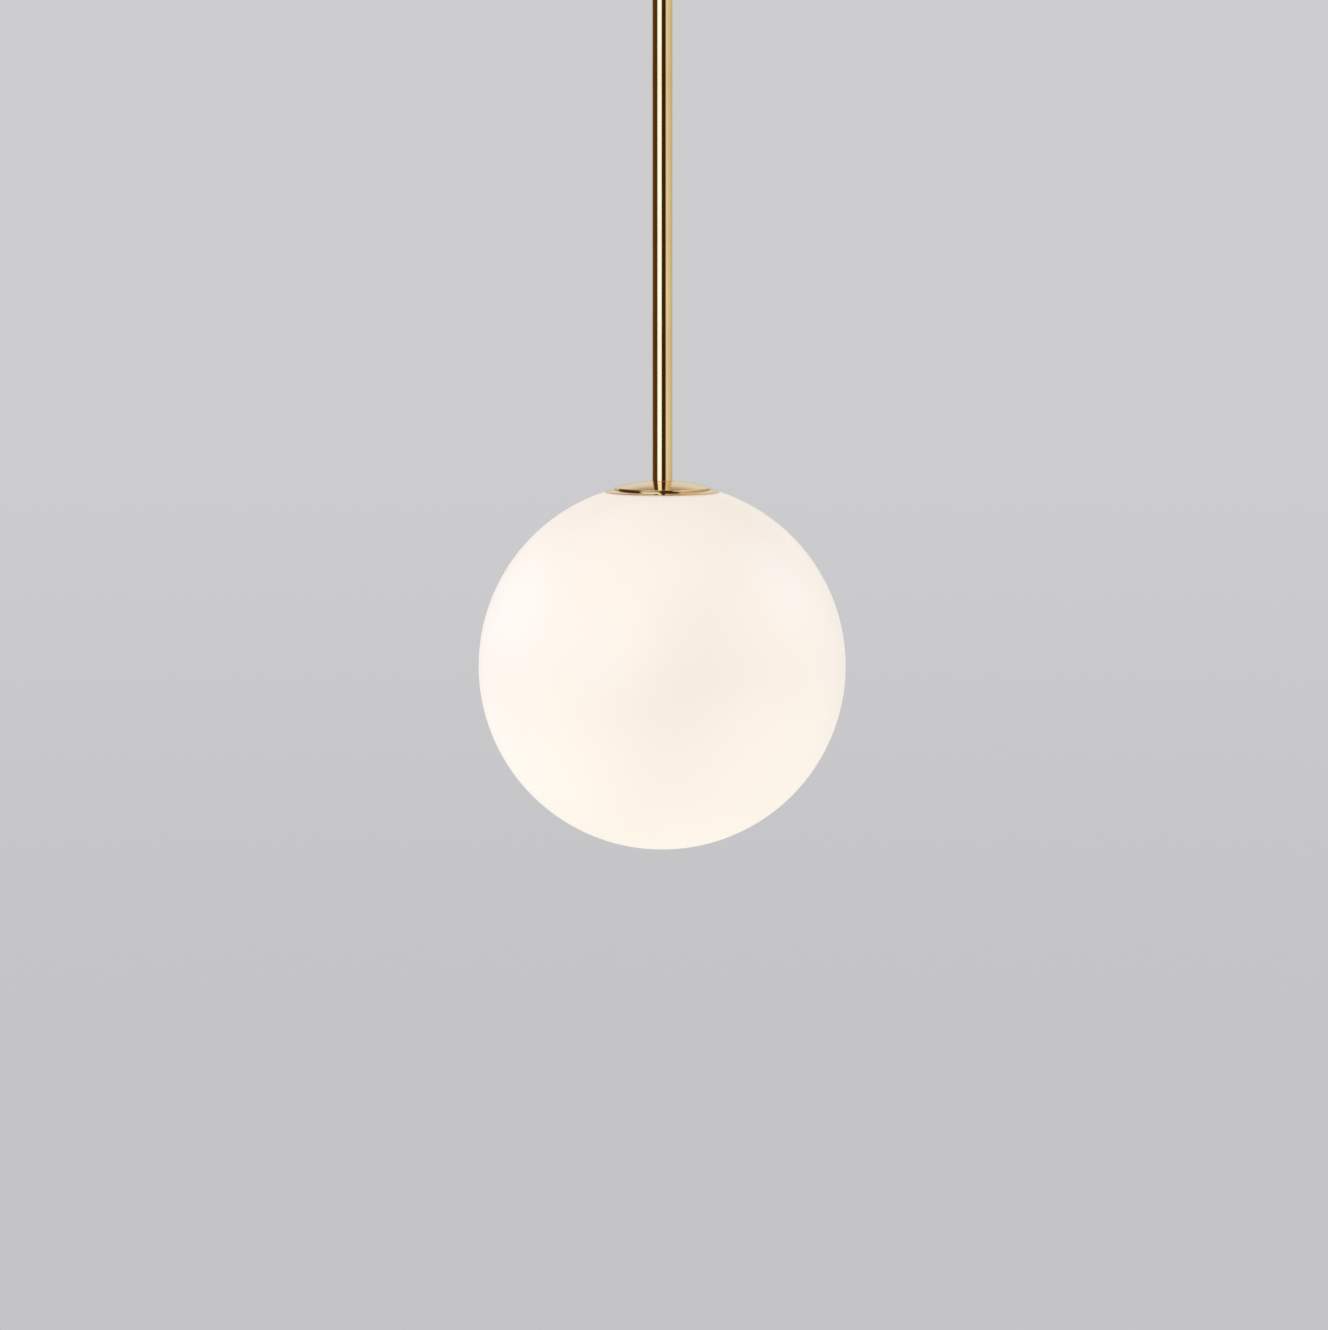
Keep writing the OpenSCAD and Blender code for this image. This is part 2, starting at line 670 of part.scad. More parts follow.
mounting_plate();
canopy_cover();
canopy_screws();
cable_grommet();
swivel_yoke();
yoke_screws();
terminal_block();
terminal_sleeves();
terminal_screws();
terminal_fixings();
earth_screw();
earth_lug();
earth_link();
live_wire_upper();
neutral_wire_upper();
earth_wire_upper();
gimbal_ring();
tilt_pins_x();
tilt_pins_y();
swivel_head();
swivel_ball();
upper_nipple();
stem_tube();
lower_nipple();
cap_dome();
cap_washer();
gallery_ring();
glass_gasket();
gallery_plate();
lock_washer();
lock_nut();
retaining_springs();
spring_rivets();
holder_cap();
holder_insert();
holder_terminals();
holder_shell();
holder_skirt();
centre_contact();
live_wire_lower();
neutral_wire_lower();
earth_wire_lower();
glass_globe();
lamp_contact();
lamp_insulator();
lamp_cap();
lamp_housing();
led_board();
lamp_bulb();
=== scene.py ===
"""Looks of the pendant ceiling light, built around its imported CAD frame. Metres, +Z up, front is -Y."""
import json
import math

import bmesh
import bpy
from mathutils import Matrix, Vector


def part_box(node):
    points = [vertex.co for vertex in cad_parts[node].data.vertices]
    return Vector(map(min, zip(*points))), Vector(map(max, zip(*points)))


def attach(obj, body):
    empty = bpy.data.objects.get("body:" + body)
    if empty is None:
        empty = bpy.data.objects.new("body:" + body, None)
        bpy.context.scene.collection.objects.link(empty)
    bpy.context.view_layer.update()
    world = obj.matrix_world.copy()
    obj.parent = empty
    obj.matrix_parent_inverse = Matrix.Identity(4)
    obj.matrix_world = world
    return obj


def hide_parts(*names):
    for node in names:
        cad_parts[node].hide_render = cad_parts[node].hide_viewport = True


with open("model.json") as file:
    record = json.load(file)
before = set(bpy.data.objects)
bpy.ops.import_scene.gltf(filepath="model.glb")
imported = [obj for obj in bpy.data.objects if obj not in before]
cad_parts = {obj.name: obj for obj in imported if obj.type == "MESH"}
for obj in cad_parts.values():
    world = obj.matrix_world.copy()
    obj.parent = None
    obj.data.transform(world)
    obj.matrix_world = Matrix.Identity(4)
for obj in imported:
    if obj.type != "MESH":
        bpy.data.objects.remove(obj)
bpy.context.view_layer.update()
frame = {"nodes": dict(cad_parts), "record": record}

MM = 0.001
TAU = 2 * math.pi
SAME_SPOT = 1e-7  # points nearer than this are one

# ---------------------------------------------------------------- sizes from the frame


def low(node):
    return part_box(node)[0]


def high(node):
    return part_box(node)[1]


def radius(node):
    """Outer radius of a round node that stands on the Z axis."""
    return high(node).x


def extent(node):
    """Outer radius, bottom and top of such a node."""
    return radius(node), low(node).z, high(node).z


TUBE_R, TUBE_BOTTOM, TUBE_TOP = extent("stem_tube")
DOME_R, DOME_FOOT, DOME_TOP = extent("cap_dome")
GLOBE_R = -low("glass_globe").x
GLOBE_Z = low("glass_globe").z + GLOBE_R
GLASS_LIP_Z = high("glass_globe").z
GLASS_LIP_R = math.sqrt(GLOBE_R ** 2 - (GLASS_LIP_Z - GLOBE_Z) ** 2)

# Walls, bores and pitches: the frame gives only the outside of each node.
GLASS_T = 3 * MM
GLASS_HOLE_R = 31.5 * MM
CANOPY_T = 1 * MM
CANOPY_HOLE_R = 14.8 * MM
BALL_T = 1.5 * MM
TUBE_BORE_R = 4.5 * MM
NIPPLE_BORE_R = 3.5 * MM
THREAD_R = 5 * MM
M10_PITCH = 1 * MM
E27_PITCH = 3.62 * MM

# ---------------------------------------------------------------- profiles

NEARLY_STRAIGHT = math.radians(88)  # half the angle of a corner that gets no fillet
FILLET_SHARE = 0.45  # the most that a fillet takes of an edge
SUPPORT_SHARE = 0.3  # how far a support point stands off a fillet, as a share of the fillet's reach
SUPPORT_ROOM = 3  # an edge gets support points if it is this many times as long as the reach


def fillet(points, radii, steps=6):
    """Closed outline with each corner rounded, and a support point on the straight beside each fillet.

    radii is one radius, or a list with one for each corner.
    """
    out = []
    count = len(points)
    for i, point in enumerate(points):
        here = Vector(point)
        r = radii[i] if isinstance(radii, (list, tuple)) else radii
        back = Vector(points[i - 1]) - here
        ahead = Vector(points[(i + 1) % count]) - here
        half = back.angle(ahead, math.pi) / 2
        if r <= 0 or half > NEARLY_STRAIGHT:
            out.append(here)
            continue
        reach = min(r / math.tan(half), FILLET_SHARE * back.length, FILLET_SHARE * ahead.length)
        r = reach * math.tan(half)
        start = here + back.normalized() * reach
        end = here + ahead.normalized() * reach
        middle = here + (back.normalized() + ahead.normalized()).normalized() * (r / math.sin(half))
        a = math.atan2(start.y - middle.y, start.x - middle.x)
        turn = math.atan2(end.y - middle.y, end.x - middle.x) - a
        turn = (turn + math.pi) % TAU - math.pi
        if back.length > SUPPORT_ROOM * reach:
            out.append(start + back.normalized() * SUPPORT_SHARE * reach)
        for k in range(steps + 1):
            angle = a + turn * k / steps
            out.append(middle + Vector((math.cos(angle), math.sin(angle))) * r)
        if ahead.length > SUPPORT_ROOM * reach:
            out.append(end + ahead.normalized() * SUPPORT_SHARE * reach)
    return out


def arc(centre, r, start, end, steps):
    """Points of an arc in the (radius, height) plane, angles in degrees from the horizontal."""
    angles = [math.radians(start + (end - start) * k / steps) for k in range(steps + 1)]
    return [Vector((centre[0] + r * math.cos(a), centre[1] + r * math.sin(a))) for a in angles]


def new_piece(name, bm, sharp=35):
    """A smooth-shaded object from bm, with edges over `sharp` degrees kept crisp."""
    bmesh.ops.remove_doubles(bm, verts=bm.verts, dist=SAME_SPOT)
    bmesh.ops.recalc_face_normals(bm, faces=bm.faces)
    mesh = bpy.data.meshes.new(name)
    bm.to_mesh(mesh)
    bm.free()
    mesh.shade_smooth()
    mesh.set_sharp_from_angle(angle=math.radians(sharp))
    piece = bpy.data.objects.new(name, mesh)
    bpy.context.scene.collection.objects.link(piece)
    return piece


def lathe(name, profile, segments=96, relief=None, at=(0, 0, 0)):
    """Turns a closed (radius, height) outline about Z. relief(angle, r, z) gives a change of radius."""
    bm = bmesh.new()
    rings = []
    for r, z in profile:
        if r < SAME_SPOT:
            rings.append([bm.verts.new(Vector((0, 0, z)) + Vector(at))])
            continue
        ring = []
        for k in range(segments):
            angle = TAU * k / segments
            cut_r = r + (relief(angle, r, z) if relief else 0)
            spot = Vector((cut_r * math.cos(angle), cut_r * math.sin(angle), z)) + Vector(at)
            ring.append(bm.verts.new(spot))
        rings.append(ring)
    for i, a in enumerate(rings):
        b = rings[(i + 1) % len(rings)]
        for k in range(segments):
            n = (k + 1) % segments
            corners = [a[k % len(a)], a[n % len(a)], b[n % len(b)], b[k % len(b)]]
            unique = list(dict.fromkeys(corners))
            if len(unique) > 2:
                bm.faces.new(unique)
    return new_piece(name, bm)


def tube_profile(r_out, r_in, z_low, z_high, edge):
    """Outline of a straight tube with its edges rounded."""
    return fillet([(r_in, z_low), (r_out, z_low), (r_out, z_high), (r_in, z_high)], edge)


# ---------------------------------------------------------------- materials


class Nodes:
    """Shorthand for building a node tree."""

    def __init__(self, tree):
        self.tree = tree

    def node(self, kind, inputs=None, **settings):
        """A new node with its settings made and its inputs linked or set."""
        made = self.tree.nodes.new(kind)
        for key, value in settings.items():
            setattr(made, key, value)
        for key, value in (inputs or {}).items():
            self.put(value, made.inputs[key])
        return made

    def put(self, value, socket):
        """Links a socket, or sets a plain value. Colours are given as three linear numbers."""
        if isinstance(value, bpy.types.NodeSocket):
            self.tree.links.new(value, socket)
        elif socket.type == "RGBA":
            socket.default_value = (*value, 1)
        else:
            socket.default_value = value

    def maths(self, operation, a, b):
        return self.node("ShaderNodeMath", {0: a, 1: b}, operation=operation).outputs[0]

    def remap(self, value, low_in, high_in, low_out=0, high_out=1, smooth=False):
        inputs = {"Value": value, "From Min": low_in, "From Max": high_in,
                  "To Min": low_out, "To Max": high_out}
        way = "SMOOTHSTEP" if smooth else "LINEAR"
        return self.node("ShaderNodeMapRange", inputs, interpolation_type=way).outputs["Result"]

    def ramp(self, factor, stops):
        """A colour ramp through (position, colour) stops."""
        made = self.node("ShaderNodeValToRGB", {"Fac": factor})
        elements = made.color_ramp.elements
        while len(elements) < len(stops):
            elements.new(0.5)
        for element, (position, colour) in zip(elements, stops):
            element.position = position
            element.color = (*colour, 1)
        return made.outputs["Color"]

    def mix(self, factor, a, b, blend="MIX"):
        """Blends two colours. The Mix node's colour sockets are 6 and 7 going in and 2 coming out."""
        made = self.node("ShaderNodeMix", data_type="RGBA", blend_type=blend)
        for index, value in ((0, factor), (6, a), (7, b)):
            self.put(value, made.inputs[index])
        return made.outputs[2]


# Noise textures stay mostly between these two values.
NOISE_LOW = 0.3
NOISE_HIGH = 0.7


class Shader(Nodes):
    """One node material built around a Principled shader."""

    def __init__(self, name, colour, **sockets):
        self.material = bpy.data.materials.new(name)
        self.material.use_nodes = True
        super().__init__(self.material.node_tree)
        self.bsdf = self.tree.nodes["Principled BSDF"]
        self.colour(colour)
        for socket, value in sockets.items():
            self.put(value, self.bsdf.inputs[socket.replace("_", " ")])
        self.coords = self.node("ShaderNodeTexCoord").outputs["Object"]

    def stretched(self, x, y, z):
        """Object coordinates scaled along each axis, in cells per metre."""
        return self.node("ShaderNodeMapping", {"Vector": self.coords, "Scale": (x, y, z)}).outputs[0]

    def noise(self, scale, detail=4, vector=None):
        inputs = {"Vector": vector or self.coords, "Scale": scale, "Detail": detail, "Roughness": 0.55}
        return self.node("ShaderNodeTexNoise", inputs).outputs["Fac"]

    def tones(self, texture, dark, light):
        """Two tones that follow a noise texture."""
        return self.ramp(texture, [(NOISE_LOW, dark), (NOISE_HIGH, light)])

    def colour(self, value):
        self.put(value, self.bsdf.inputs["Base Color"])

    def roughness(self, texture, least, most):
        """Roughness between two values, following a noise texture."""
        value = self.remap(texture, NOISE_LOW, NOISE_HIGH, least, most)
        self.put(value, self.bsdf.inputs["Roughness"])

    def emission(self, colour, strength):
        self.put(colour, self.bsdf.inputs["Emission Color"])
        self.put(strength, self.bsdf.inputs["Emission Strength"])

    def bump(self, height, distance, strength):
        made = self.node("ShaderNodeBump", {"Height": height, "Distance": distance, "Strength": strength})
        self.put(made.outputs["Normal"], self.bsdf.inputs["Normal"])


def mottled(name, dark, light, rough, scale=300, bump_mm=0.01, **sockets):
    """A material whose colour, roughness and fine relief vary with noise.

    rough is the least and the most roughness. scale sets the grain, in cells per metre.
    """
    s = Shader(name, light, **sockets)
    broad = s.noise(scale * 0.2, 3)
    fine = s.noise(scale * 4, 6)
    s.colour(s.tones(broad, dark, light))
    s.roughness(fine, *rough)
    s.bump(fine, bump_mm * MM, 0.6)
    return s.material


def polished_brass():
    """Lacquered brass: a mirror with faint drawing lines along Z and slight tone changes."""
    dark, light = (0.86, 0.66, 0.37), (0.93, 0.75, 0.46)
    s = Shader("polished_brass", light, Metallic=1.0, IOR=1.5)
    lines = s.noise(1, 3, vector=s.stretched(2600, 2600, 30))
    s.colour(s.tones(s.noise(14, 3), dark, light))
    s.roughness(lines, 0.06, 0.13)
    s.bump(lines, 0.0006 * MM, 0.4)
    return s.material


# The glass's glow from the lamp inside, from the bottom of the globe to its top, with painted shade:
# stronger low down and dimmer towards the top
GLOW_WITH_PAINTED_SHADE = [(0.0, (0.51, 0.45, 0.367)), (0.5, (0.262, 0.216, 0.178)), (1.0, (0.175, 0.125, 0.085))]


def opal_glass():
    """Opal glass lit from inside: a warm glow under a clear gloss, with painted shade that makes it stronger
    low down and dimmer at the top.
    """
    s = Shader("opal_glass", (0.86, 0.85, 0.82), Roughness=0.42, IOR=1.5, Coat_Weight=0.1,
               Coat_Roughness=0.2)
    height = s.node("ShaderNodeSeparateXYZ", {"Vector": s.coords}).outputs["Z"]
    level = s.remap(height, GLOBE_Z - GLOBE_R, GLOBE_Z + GLOBE_R)
    veil = s.tones(s.noise(9, 2), (0.96, 0.96, 0.96), (1.0, 1.0, 1.0))
    # Painted shade: the glow follows the height ramp, brighter at the bottom of the globe and dimmer at its
    # top
    s.emission(s.mix(1.0, s.ramp(level, GLOW_WITH_PAINTED_SHADE), veil, blend="MULTIPLY"), 1.0)
    s.bump(s.noise(60, 2), 0.01 * MM, 0.3)
    return s.material


def lamp_diffuser():
    """Frosted plastic with a soft warm glow."""
    s = Shader("lamp_diffuser", (0.9, 0.89, 0.86), Roughness=0.4)
    s.emission(s.tones(s.noise(60, 2), (0.93, 0.8, 0.6), (1.0, 0.88, 0.68)), 0.4)
    return s.material


def zinc_plate():
    """Bright zinc on steel: broken grain of blue-grey tones."""
    s = Shader("zinc_plated_steel", (0.6, 0.62, 0.66), Metallic=1.0)
    grain = s.node("ShaderNodeTexVoronoi", {"Vector": s.coords, "Scale": 420.0}).outputs["Distance"]
    fine = s.noise(1500, 5)
    s.colour(s.ramp(grain, [(0.0, (0.62, 0.64, 0.67)), (0.6, (0.5, 0.52, 0.55))]))
    s.roughness(fine, 0.22, 0.38)
    s.bump(fine, 0.004 * MM, 0.5)
    return s.material


def spring_steel():
    """Rolled strip: fine lines and a slight blue temper."""
    s = Shader("spring_steel", (0.35, 0.37, 0.42), Metallic=1.0)
    lines = s.noise(1, 4, vector=s.stretched(400, 400, 4000))
    s.colour(s.tones(lines, (0.3, 0.32, 0.38), (0.46, 0.47, 0.5)))
    s.roughness(lines, 0.2, 0.34)
    s.bump(lines, 0.002 * MM, 0.5)
    return s.material


def earth_insulation():
    """Green plastic with a yellow stripe."""
    s = Shader("earth_insulation", (0.05, 0.25, 0.03), Roughness=0.35)
    bands = {"Vector": s.coords, "Scale": 60.0, "Distortion": 2.0, "Detail": 1.0}
    stripes = s.node("ShaderNodeTexWave", bands, bands_direction="DIAGONAL").outputs["Fac"]
    s.colour(s.ramp(stripes, [(0.45, (0.04, 0.22, 0.03)), (0.55, (0.7, 0.55, 0.03))]))
    s.bump(s.noise(2000, 2), 0.005 * MM, 0.4)
    return s.material


SLOTS = {
    "polished_brass": polished_brass(),
    "opal_glass": opal_glass(),
    "lamp_diffuser": lamp_diffuser(),
    "zinc_plated_steel": zinc_plate(),
    "spring_steel": spring_steel(),
    "earth_insulation": earth_insulation(),
    "plain_brass": mottled("plain_brass", (0.7, 0.52, 0.27), (0.82, 0.63, 0.34), (0.2, 0.34), Metallic=1.0),
    "cast_zinc": mottled("cast_zinc", (0.42, 0.43, 0.45), (0.55, 0.56, 0.58), (0.38, 0.55), scale=220,
                         bump_mm=0.03, Metallic=1.0),
    "pin_steel": mottled("pin_steel", (0.5, 0.5, 0.52), (0.62, 0.62, 0.64), (0.14, 0.24), Metallic=1.0),
    "black_fibre": mottled("black_fibre", (0.012, 0.01, 0.009), (0.03, 0.026, 0.022), (0.6, 0.85)),
    "silicone": mottled("silicone", (0.62, 0.61, 0.56), (0.75, 0.74, 0.69), (0.4, 0.55)),
    "black_rubber": mottled("black_rubber", (0.012, 0.012, 0.013), (0.03, 0.03, 0.032), (0.55, 0.75)),
    "white_nylon": mottled("white_nylon", (0.74, 0.73, 0.67), (0.82, 0.81, 0.76), (0.4, 0.55)),
    "white_ceramic": mottled("white_ceramic", (0.76, 0.74, 0.68), (0.84, 0.82, 0.77), (0.1, 0.22),
                             bump_mm=0.02, Coat_Weight=0.5, Coat_Roughness=0.06),
    "live_insulation": mottled("live_insulation", (0.09, 0.035, 0.012), (0.14, 0.055, 0.02), (0.3, 0.42)),
    "neutral_insulation": mottled("neutral_insulation", (0.012, 0.05, 0.26), (0.02, 0.08, 0.36),
                                  (0.3, 0.42)),
    "lamp_metal": mottled("lamp_metal", (0.62, 0.61, 0.58), (0.74, 0.73, 0.7), (0.16, 0.28), Metallic=1.0),
    "black_glass": mottled("black_glass", (0.006, 0.006, 0.007), (0.015, 0.015, 0.017), (0.08, 0.16)),
    "lamp_plastic": mottled("lamp_plastic", (0.78, 0.77, 0.74), (0.85, 0.84, 0.82), (0.32, 0.42)),
}
NODE_SLOT = {part["node"]: part["material_slot"] for part in frame["record"]["subparts"]}
NODE_BODY = {node: body for body, nodes in frame["record"]["behaviour"]["bodies"].items() for node in nodes}


def stands_for(piece, node):
    """Gives a piece the body, slot and material of the CAD node that it replaces."""
    piece.data.materials.clear()
    piece.data.materials.append(SLOTS[NODE_SLOT[node]])
    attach(piece, NODE_BODY[node])
    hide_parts(node)
    return piece


# ---------------------------------------------------------------- stage, light and camera

# The camera stands far off, looks down a little at the globe's middle and sees VIEW_WIDTH there.
VIEW_DISTANCE = 4.0
VIEW_PITCH = math.radians(5.7)
VIEW_WIDTH = 0.8336
SENSOR = 36.0
AIM_OFFSET = Vector((1.15 * MM, 0, 0.6 * MM))
FLOOR_Z = -6.0
FLOOR_R = 9.0


def look_at(obj, target):
    obj.rotation_euler = (target - obj.location).to_track_quat("-Z", "Y").to_euler()


def camera():
    """A long lens in front of the light."""
    data = bpy.data.cameras.new("camera")
    data.sensor_width = SENSOR
    data.lens = SENSOR * VIEW_DISTANCE / VIEW_WIDTH
    made = bpy.data.objects.new("camera", data)
    bpy.context.scene.collection.objects.link(made)
    target = Vector((0, 0, GLOBE_Z)) + AIM_OFFSET
    away = Vector((0, -math.cos(VIEW_PITCH), math.sin(VIEW_PITCH)))
    made.location = target + away * VIEW_DISTANCE
    look_at(made, target)
    bpy.context.scene.camera = made


# Colours of the studio by compass angle from the front in degrees, right is positive. The upright brass
# mirrors STUDIO. The dome's rim, which leans in a little at its foot, mirrors the darker STUDIO_LOW.
WALL = (0.61, 0.61, 0.62)
PANEL = (1.2, 1.38, 1.7)
FLAG = (0.045, 0.014, 0.004)
LOW_FLAG = (0.05, 0.033, 0.012)
RIGHT_SIDE = [(80, (0.74, 0.70, 0.56)), (146, (0.56, 0.54, 0.48)), (156, WALL)]
STUDIO = [
    (-130, WALL),
    (-124, (0.11, 0.05, 0.015)),
    (-57, (0.07, 0.028, 0.007)),
    (-47, PANEL),
    (-10, PANEL),
    (-3, FLAG),
    (36, FLAG),
    (48, (0.92, 0.86, 0.72)),
    *RIGHT_SIDE,
]
STUDIO_LOW = [
    (-130, WALL),
    (-124, (0.13, 0.09, 0.06)),
    (-60, (0.19, 0.145, 0.10)),
    (-30, (0.29, 0.25, 0.19)),
    (-18, LOW_FLAG),
    (22, LOW_FLAG),
    (32, (0.80, 0.74, 0.62)),
    *RIGHT_SIDE,
]

# The rest of what the brass mirrors: the rear wall, the shade over it, overhead and underfoot
BEHIND_TONE = (0.80, 0.75, 0.70)
SHADE_TONE = (0.42, 0.33, 0.28)
ABOVE_TONE = (0.78, 0.78, 0.80)
BELOW_TONE = (0.86, 0.80, 0.74)

# What the camera sees, and the even light that falls on everything
BACKDROP_LOW = (0.553, 0.548, 0.562)
BACKDROP_HIGH = (0.609, 0.609, 0.622)
BOUNCE_TONE = (0.62, 0.61, 0.60)

# Angles above the horizon in degrees, from where each part starts to where it has taken over
LOW_STARTS = (-11, -15)
BEHIND_STARTS = (5, 15)
SHADE_STARTS = (22, 34)
ABOVE_STARTS = (40, 60)
BELOW_STARTS = (-35, -50)
BACKDROP_CLIMBS = (-9, -3)

# The same for the rear, by how far a direction points to it, from 0 to 1
REAR_STARTS = (0.3, 0.7)


def studio_world():
    """Pale backdrop for the camera, panels and flags for reflections, even bounced light for the rest."""
    world = bpy.data.worlds.new("studio")
    world.use_nodes = True
    bpy.context.scene.world = world
    n = Nodes(world.node_tree)
    n.tree.nodes.clear()
    direction = n.node("ShaderNodeTexCoord").outputs["Generated"]
    x, y, z = n.node("ShaderNodeSeparateXYZ", {0: direction}).outputs

    def climb(start, end):
        """Goes smoothly from 0 to 1 between two angles above the horizon, in degrees."""
        return n.remap(z, math.sin(math.radians(start)), math.sin(math.radians(end)), smooth=True)

    compass = n.remap(n.maths("ARCTAN2", x, n.maths("MULTIPLY", y, -1)), -math.pi, math.pi)
    around, around_low = (n.ramp(compass, [((angle + 180) / 360, colour) for angle, colour in stops])
                          for stops in (STUDIO, STUDIO_LOW))
    studio = n.mix(climb(*LOW_STARTS), around, around_low)
    rear = n.remap(y, *REAR_STARTS, smooth=True)
    for starts, tone in ((BEHIND_STARTS, BEHIND_TONE), (SHADE_STARTS, SHADE_TONE)):
        studio = n.mix(n.maths("MULTIPLY", rear, climb(*starts)), studio, tone)
    for starts, tone in ((ABOVE_STARTS, ABOVE_TONE), (BELOW_STARTS, BELOW_TONE)):
        studio = n.mix(climb(*starts), studio, tone)
    backdrop = n.mix(climb(*BACKDROP_CLIMBS), BACKDROP_LOW, BACKDROP_HIGH)
    path = n.node("ShaderNodeLightPath").outputs
    surroundings = n.mix(path["Is Glossy Ray"], BOUNCE_TONE, studio)
    seen = n.mix(path["Is Camera Ray"], surroundings, backdrop)
    background = n.node("ShaderNodeBackground", {"Color": seen})
    n.node("ShaderNodeOutputWorld", {"Surface": background.outputs[0]})


def floor():
    """Pale disc on the ground, fading out into the backdrop towards its rim."""
    bm = bmesh.new()
    bmesh.ops.create_circle(bm, cap_ends=True, radius=FLOOR_R, segments=96)
    bmesh.ops.translate(bm, verts=bm.verts, vec=(0, 0, FLOOR_Z))
    piece = new_piece("floor", bm)
    s = Shader("floor", (0.8, 0.8, 0.81), Roughness=0.6)
    s.roughness(s.noise(8), 0.5, 0.7)
    flat = s.stretched(1, 1, 0)
    distance = s.node("ShaderNodeVectorMath", {"Vector": flat}, operation="LENGTH").outputs["Value"]
    fade = s.remap(distance, 0.35 * FLOOR_R, 0.97 * FLOOR_R)
    clear = s.node("ShaderNodeBsdfTransparent")
    blend = s.node("ShaderNodeMixShader", {0: fade, 1: s.bsdf.outputs[0], 2: clear.outputs[0]})
    s.put(blend.outputs[0], s.tree.nodes["Material Output"].inputs["Surface"])
    piece.data.materials.append(s.material)


def soft_box(name, place, size, watts, colour=(1, 1, 1), sheen_on=None):
    """A soft light. With sheen_on it only makes a highlight, and only on that piece."""
    data = bpy.data.lights.new(name, "AREA")
    data.shape = "RECTANGLE"
    data.size, data.size_y = size
    data.energy = watts
    data.color = colour
    made = bpy.data.objects.new(name, data)
    bpy.context.scene.collection.objects.link(made)
    made.location = place
    look_at(made, Vector((0, 0, GLOBE_Z)))
    made.visible_camera = False
    made.visible_glossy = sheen_on is not None
    if sheen_on:
        made.visible_diffuse = False
        lit = bpy.data.collections.new(name + "_lights")
        lit.objects.link(sheen_on)
        made.light_linking.receiver_collection = lit


camera()
studio_world()
floor()
soft_box("key", (-2.8, -0.7, 0.7), (1.6, 1.6), 31, (0.95, 0.94, 1.0))
soft_box("fill", (2.6, -0.6, 0.9), (1.2, 1.2), 17, (0.94, 0.93, 1.0))
soft_box("front", (0.2, -3.0, 0.2), (1.5, 1.5), 10, (1.0, 0.72, 0.4))
soft_box("back", (0.4, 2.4, 0.9), (1.6, 1.2), 10)
bpy.context.scene.view_settings.view_transform = "Standard"

# ---------------------------------------------------------------- brass pieces of the stem and cap


def stem_tube():
    """Drawn tube with broken edges."""
    outline = tube_profile(TUBE_R, TUBE_BORE_R, TUBE_BOTTOM, TUBE_TOP, 0.25 * MM)
    stands_for(lathe("stem_tube_drawn", outline, 160), "stem_tube")


def cap_dome():
    """Spun dome: shallow crown, rolled edge, a rim that hides the washer, hollow beneath."""
    edge_t, edge_roll = 0.7 * MM, 0.35 * MM
    rim_t, rim_lean = 1 * MM, 0.12 * MM
    seat_w, hollow_h, hollow_slope = 8 * MM, 0.6 * MM, 0.4 * MM
    under = high("cap_washer").z
    edge_z = under + edge_t
    rise = DOME_TOP - edge_z
    sphere_r = (DOME_R ** 2 - TUBE_R ** 2) / (2 * rise) + rise / 2
    sphere_z = DOME_TOP - math.sqrt(sphere_r ** 2 - TUBE_R ** 2)
    start = math.degrees(math.acos((DOME_R - edge_roll) / sphere_r))
    end = math.degrees(math.acos(TUBE_R / sphere_r))
    crown = arc((0, sphere_z), sphere_r, start, end, 40)
    hollow_r = DOME_R - seat_w
    rim_r = DOME_R - rim_t
    rim = fillet([(rim_r, DOME_FOOT), (DOME_R - rim_lean, DOME_FOOT), (DOME_R, edge_z), crown[0]],
                 [0, 0.08 * MM, 0.25 * MM, 0])
    outline = [(THREAD_R, under + hollow_h), (hollow_r - hollow_slope, under + hollow_h), (hollow_r, under),
               (rim_r, under)]
    outline += rim + crown[1:] + [(THREAD_R, DOME_TOP)]
    stands_for(lathe("cap_dome_spun", outline, 192), "cap_dome")


def gallery_ring():
    """Pressed ring: flat under the dome, then a brim that bends down over the lip of the glass."""
    rim, foot, top = extent("gallery_ring")
    under = high("glass_gasket").z
    rim_t, bend_t = 0.3 * MM, 0.28 * MM
    outline = fillet(
        [(THREAD_R, under), (GLASS_LIP_R, under), (rim, foot), (rim, foot + rim_t),
         (GLASS_LIP_R, under + bend_t), (DOME_R, top), (THREAD_R, top)],
        [0, 1 * MM, 0.12 * MM, 0.12 * MM, 8 * MM, 4 * MM, 0], steps=8)
    stands_for(lathe("gallery_ring_pressed", outline, 192), "gallery_ring")


def swivel_ball():
    """Half ball with a flat foot for the tube and a rolled rim inside the canopy."""
    outer, foot, pivot_z = extent("swivel_ball")
    inner = outer - BALL_T
    hole = THREAD_R + 0.05 * MM
    rim_angle = -0.6
    start = -math.degrees(math.acos(TUBE_R / outer))
    end = -math.degrees(math.acos(hole / inner))
    outside = arc((0, pivot_z), outer, start, rim_angle, 48)
    inside = arc((0, pivot_z), inner, rim_angle, end, 48)
    outline = [(hole, foot)] + outside + [((outer + inner) / 2, pivot_z)] + inside
    stands_for(lathe("swivel_ball_spun", outline, 128), "swivel_ball")


def canopy_cover():
    """Spun cup with a soft lower corner and rolled edges at the rim and round the ball's hole."""
    rim, base, top = extent("canopy_cover")
    inner, floor_z = rim - CANOPY_T, base + CANOPY_T
    hole_roll, rim_roll, corner = 0.35 * MM, 0.3 * MM, 3 * MM
    outline = fillet(
        [(CANOPY_HOLE_R, base), (rim, base), (rim, top),
         (inner, top), (inner, floor_z), (CANOPY_HOLE_R, floor_z)],
        [hole_roll, corner, rim_roll, rim_roll, corner - CANOPY_T, hole_roll], steps=12)
    stands_for(lathe("canopy_cover_spun", outline, 224), "canopy_cover")


# ---------------------------------------------------------------- globe and washers


